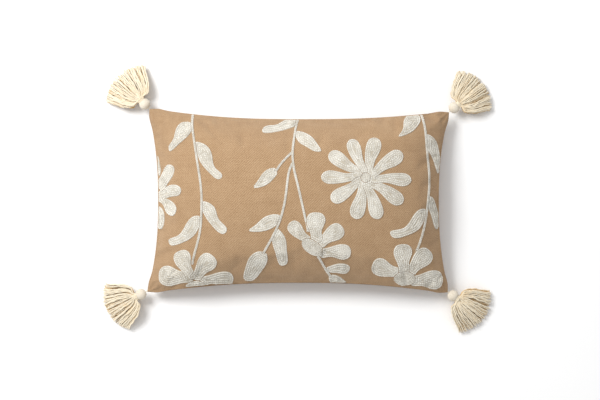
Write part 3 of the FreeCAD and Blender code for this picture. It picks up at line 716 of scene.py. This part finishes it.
def stitch(node, rng):
    """A patch of chain stitch in rows that follow its outline, on a thin layer of yarn that is painted
    darker, as painted shade in the gaps between the rows.
    """
    thin = "stem" in node
    dense = "centre" in node and "vine" not in node
    bm = bmesh.new()
    shade = bm.verts.layers.float.new("PaintedShadeAndTone")
    row_step = 1.9 * MM if thin else (2.3 * MM if dense else 3.2 * MM)
    step = (3.0 if thin else 3.3) * MM
    wide = row_step / ((2.2 if thin else 2.9) * MM)
    for segments in outlines(node):
        sheet = depth_sheet(segments, 0.9 * MM if thin else 1.1 * MM)
        deepest = max(v.co.z for v in sheet.verts)
        levels = [row_step / 2]
        while levels[-1] + row_step < deepest:
            levels.append(levels[-1] + row_step)
        for level in levels:
            for line in rows_at(sheet, min(level, deepest * 0.93)):
                for x, y, dx, dy, gap in spaced(line, step):
                    add_link(bm, shade, x, y, dx, dy, gap, wide, rng)
        geom = list(sheet.verts) + list(sheet.edges) + list(sheet.faces)
        bmesh.ops.bisect_plane(sheet, geom=geom, dist=1e-7, plane_co=(0, 0, LAYER_EDGE),
                               plane_no=(0, 0, 1), clear_inner=True)
        for vert in sheet.verts:
            depth = vert.co.z
            hit, normal = on_cover(vert.co.x, vert.co.y)
            lift = 0.55 * MM * min(1, (depth - LAYER_EDGE) / (0.8 * MM)) + 0.05 * MM
            vert.co = hit + normal * lift
        layer = bpy.data.meshes.new("layer")
        sheet.to_mesh(layer)
        sheet.free()
        first = len(bm.verts)
        bm.from_mesh(layer)
        bpy.data.meshes.remove(layer)
        bm.verts.ensure_lookup_table()
        # the thin layer is painted darker than the stitches: painted shade in the gaps between the rows
        for vert in bm.verts[first:]:
            vert[shade] = 0.36
    piece = link_mesh("stitched_" + node, bm)
    piece.data.materials.append(EMBROIDERY)
    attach(piece, "pillow")
    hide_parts(node)


def add_link(bm, shade, x, y, dx, dy, gap, wide, rng):
    """Lays one loop of the chain on the cloth at (x, y), along (dx, dy)."""
    hit, normal = on_cover(x, y)
    along = Vector((dx, dy, 0)).normalized()
    along = (along - normal * along.dot(normal)).normalized()
    across = normal.cross(along)
    turn = Matrix((along, across, normal)).transposed()
    size = Vector((gap * 0.36 * rng.uniform(0.94, 1.08), wide * MM * rng.uniform(0.92, 1.06), MM))
    place = hit + normal * (0.85 * MM + rng.uniform(-0.06, 0.1) * MM)
    matrix = Matrix.Translation(place) @ turn.to_4x4() @ Matrix.Diagonal((*size, 1))
    one = LINK.copy()
    one.transform(matrix)
    first = len(bm.verts)
    bm.from_mesh(one)
    bpy.data.meshes.remove(one)
    bm.verts.ensure_lookup_table()
    tone = rng.uniform(-0.12, 0.14)
    for index in range(first, len(bm.verts)):
        bm.verts[index][shade] = tone


# deep colour: mostly the painted shade of the thin layer between the rows; the stitches vary at random
# nearer the pale colour
EMBROIDERY = yarn_material("Cream embroidery yarn", (0.48, 0.43, 0.345), (0.875, 0.855, 0.79),
                           fuzz=1500.0, drift=45.0, bump=0.3, shade="PaintedShadeAndTone")
for number, node in enumerate(STITCHED):
    stitch(node, random.Random(100 + number))

# ------------------------------------------------------------------ tassels

BALL_RADIUS = 9.3 * MM
BALL_OUT = 10.4 * MM      # from the knot's middle to the ball's
DRAWN_IN = 0.5 * MM
REACH = {"tl": 67.5, "tr": 65.5, "bl": 65.5, "br": 66}   # millimetres from the ball's middle to the tips
YARNS = 240
EDGE_YARNS = 30           # these are spread evenly over the fan, so that its two sides are always drawn
YARN_START = 8.6 * MM
YARN_STEPS = 26
# deep golden colour: mostly the painted shade of the skirt's buried yarns
TASSEL_YARN = yarn_material("Tassel yarn", (0.68, 0.45, 0.18), (0.84, 0.75, 0.585),
                            fuzz=700.0, drift=60.0, shade="PaintedShadeAndTone")
BALL_YARN = yarn_material("Wound ball yarn", (0.56, 0.47, 0.35), (0.76, 0.69, 0.575),
                          fuzz=420.0, drift=90.0, bump=0.5)
CORD_YARN = yarn_material("Cord yarn", (0.52, 0.40, 0.25), (0.86, 0.77, 0.60),
                          fuzz=600.0, drift=90.0, bump=0.5)


def knot_place(name):
    low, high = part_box("knot_" + name)
    return (low + high) / 2


def tassel_frame(name):
    """Turns the tassel's own frame, its axis along X, into place; its ball sits hard against the corner."""
    heading = math.radians(HEADINGS[name])
    out = Vector((math.cos(heading), math.sin(heading), 0))
    middle = knot_place(name) + out * (BALL_OUT - DRAWN_IN)
    return Matrix.Translation(middle) @ Matrix.Rotation(heading, 4, "Z")


def settle(bm, name, piece_name, material, node):
    """Puts a piece drawn in the tassel's own frame into place on its tassel."""
    bmesh.ops.transform(bm, matrix=tassel_frame(name), verts=bm.verts)
    piece = link_mesh(piece_name, bm)
    piece.data.materials.append(material)
    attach(piece, "tassel_" + name)
    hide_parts(node)


def wound_ball(name, rng):
    """Ball of yarn wound from pole to pole, hollowed a little where the cord goes in."""
    bm = bmesh.new()
    bmesh.ops.create_uvsphere(bm, u_segments=72, v_segments=36, radius=BALL_RADIUS)
    bmesh.ops.rotate(bm, matrix=Matrix.Rotation(math.radians(90), 3, "Y"), verts=bm.verts)
    seed = rng.uniform(0, 90)
    for vert in bm.verts:
        out = vert.co.normalized()
        turn = math.atan2(out.z, out.y)
        from_pole = math.acos(max(-1, min(1, -out.x)))
        lean = turn + 0.5 * from_pole
        groove = abs(math.sin(lean * 13 + 1.3 * noise.noise(out * 2.2 + Vector((seed, 0, 0)))))
        radius = 1 - 0.026 * (1 - groove) ** 2 * math.sin(from_pole)
        radius += 0.02 * noise.noise(out * 1.9 + Vector((seed, 3, 0))) - 0.01
        radius -= 0.17 * math.exp(-(from_pole / 0.24) ** 2)
        if out.x > 0:
            radius -= 0.10 * max(0.0, out.x - 0.72)
        vert.co = out * BALL_RADIUS * radius
    settle(bm, name, "tassel_ball_" + name, BALL_YARN, "ball_" + name)


def wound_neck(name):
    """Three turns of cord round the neck, drawn tight."""
    bm = bmesh.new()
    for at, radius in ((7.9, 5.3), (9.35, 5.0), (10.8, 5.2)):
        ring = bmesh.ops.create_circle(bm, segments=8, radius=0.82 * MM)["verts"]
        bmesh.ops.translate(bm, vec=(at * MM, radius * MM, 0), verts=ring)
        edges = list(dict.fromkeys(e for v in ring for e in v.link_edges))
        bmesh.ops.spin(bm, geom=ring + edges, axis=(1, 0, 0), cent=(0, 0, 0),
                       angle=2 * math.pi, steps=28, use_merge=True)
    bmesh.ops.remove_doubles(bm, verts=bm.verts, dist=0.001 * MM)
    bmesh.ops.recalc_face_normals(bm, faces=bm.faces)
    settle(bm, name, "tassel_binding_" + name, CORD_YARN, "binding_" + name)


def fan_height(t, low):
    """Height of the fan's middle and half its thickness, from the neck (0) to the tips (1)."""
    half = (3.4 * (1 - t) + 5.2 * t + 2.6 * math.sin(math.pi * t) ** 1.2) * MM
    return low * t ** 1.25 + (half - 0.6 * MM) * t, half


def yarn_path(rng, low, reach, layer, spread):
    """One crimped yarn of the skirt: out of the neck, swelling like a bell and down to the floor."""
    length = reach * rng.uniform(0.9, 1.0) * (1 - 0.03 * abs(spread) ** 3)
    turn = math.radians(43.5) * spread
    own = rng.uniform(0, 500)
    clump = round(spread * 8) / 8
    shared = 17.0 * clump + 40.0 * round(layer)
    points = []
    for step in range(YARN_STEPS + 1):
        t = step / YARN_STEPS
        run = YARN_START + (length - YARN_START) * t
        angle = turn * (0.40 + 1.02 * smooth(t / 0.19) - 0.42 * smooth((t - 0.08) / 0.9))
        angle += math.radians(4.5) * (clump - spread) * t ** 2 * 2.2
        middle, half = fan_height(t, low)
        free = 0.2 + 0.8 * min(1, 2.2 * t)
        coarse, fine = run * 120, run * 190
        side = 1.25 * noise.noise((coarse, shared, 0)) + 0.8 * noise.noise((fine, own, 0))
        lift = 0.5 * noise.noise((coarse, 0, shared)) + 0.6 * noise.noise((fine, 0, own))
        side, lift = free * MM * side, free * MM * lift
        x = run * math.cos(angle) - side * math.sin(angle)
        y = run * math.sin(angle) + side * math.cos(angle) + 3.0 * MM * math.sin(own) * (1 - t) ** 4
        thickness = 0.62 + 0.38 * min(1, t * 3) - 0.25 * smooth((t - 0.9) / 0.1)
        points.append((x, y, middle + half * layer + lift, thickness))
    return points


def skirt(name, rng):
    """Fan of crimped yarns that falls from the neck to the floor, its buried yarns painted deeper and more
    golden as painted shade.
    """
    low = -(knot_place(name).z - 1.4 * MM)
    reach = REACH[name] * MM
    curve = bpy.data.curves.new("skirt_yarns_" + name, "CURVE")
    curve.dimensions = "3D"
    curve.bevel_depth = 0.86 * MM
    curve.bevel_resolution = 1
    curve.resolution_u = 2
    curve.use_fill_caps = True
    for number in range(YARNS):
        layer = rng.uniform(-1, 1)
        spread = rng.uniform(-1, 1) if number > EDGE_YARNS else -1 + 2 * number / EDGE_YARNS
        points = yarn_path(rng, low, reach, layer, spread)
        spline = curve.splines.new("NURBS")
        spline.points.add(len(points) - 1)
        for target, (x, y, z, radius) in zip(spline.points, points):
            target.co = (x, y, max(z, low - 0.4 * MM), 1)
            target.radius = radius
        spline.order_u = 3
        spline.use_endpoint_u = True
    drawn = bpy.data.objects.new("skirt_yarns_" + name, curve)
    bpy.context.scene.collection.objects.link(drawn)
    evaluated = drawn.evaluated_get(bpy.context.evaluated_depsgraph_get())
    mesh = bpy.data.meshes.new_from_object(evaluated)
    bpy.data.objects.remove(drawn)
    # painted shade: yarns lying below the fan's top are painted deeper and more golden; the colour also
    # grows paler towards the tips
    shade = mesh.attributes.new("PaintedShadeAndTone", "FLOAT", "POINT")
    for vert, stored in zip(mesh.vertices, shade.data):
        t = min(1.0, max(0.0, (math.hypot(vert.co.x, vert.co.y) / reach - 0.14) / 0.86))
        middle, half = fan_height(t, low)
        buried = smooth((middle + 0.75 * half - vert.co.z) / (1.5 * half))
        stored.value = 0.72 * buried * (1 - 0.5 * t) - 0.16 * t
    mesh.transform(tassel_frame(name))
    piece = bpy.data.objects.new("tassel_skirt_" + name, mesh)
    bpy.context.scene.collection.objects.link(piece)
    mesh.materials.append(TASSEL_YARN)
    mesh.shade_smooth()
    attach(piece, "tassel_" + name)
    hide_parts("skirt_" + name)


for number, name in enumerate(CORNERS):
    wound_ball(name, random.Random(10 + number))
    wound_neck(name)
    skirt(name, random.Random(20 + number))
    for node in ("corner_cord_", "knot_", "tassel_cord_"):
        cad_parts[node + name].data.materials.clear()
        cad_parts[node + name].data.materials.append(CORD_YARN)

# ------------------------------------------------------------------ zip


def metal_material():
    material, tree, shader = new_material("Aged brass")
    w = Wires(tree)
    place = w.add("TexCoord").outputs["Object"]
    worn = w.add("TexNoise", {"Vector": place, "Scale": 260.0, "Detail": 5.0}).outputs["Fac"]
    w.set(shader, Base_Color=w.ramp(worn, [(0.35, (0.30, 0.22, 0.11)), (0.65, (0.62, 0.49, 0.27))]),
          Roughness=w.math("MULTIPLY_ADD", worn, 0.3, 0.22), Metallic=1.0,
          Normal=w.bump(worn, 0.15, 0.0002))
    return material


def coil_material():
    """Moulded coil: ribs across the zip at each tooth, painted dark in the grooves between the teeth as
    painted shade and light on the ribs.
    """
    material, tree, shader = new_material("Nylon coil")
    w = Wires(tree)
    place = w.add("TexCoord").outputs["Object"]
    along = w.add("SeparateXYZ", {0: place}).outputs[0]
    # painted shade: the colour follows the teeth, dark in the grooves between them and light on the ribs
    tooth = w.math("SINE", w.math("MULTIPLY", along, 2 * math.pi / 0.0012))
    w.set(shader, Base_Color=w.ramp(w.math("MULTIPLY_ADD", tooth, 0.5, 0.5),
                                    [(0.1, (0.16, 0.10, 0.055)), (0.9, (0.50, 0.36, 0.22))]),
          Roughness=0.45, Normal=w.bump(tooth, 0.6, 0.0003))
    return material


def dress_zip():
    """Gives the zip's own pieces, which keep their CAD shapes, their materials."""
    tape = cloth_material("Zip tape", (0.26, 0.165, 0.09), (0.36, 0.24, 0.14), (0.46, 0.32, 0.20),
                          pitch=0.0007, slub=0.2)
    metal, coil = metal_material(), coil_material()
    finishes = {"zip_tape_front": tape, "zip_tape_back": tape, "zip_coil_front": coil, "zip_coil_back": coil,
                "zip_stop_closed": metal, "zip_stop_open": metal, "zip_slider": metal, "zip_pull": metal}
    for node, material in finishes.items():
        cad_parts[node].data.materials.clear()
        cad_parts[node].data.materials.append(material)


dress_zip()
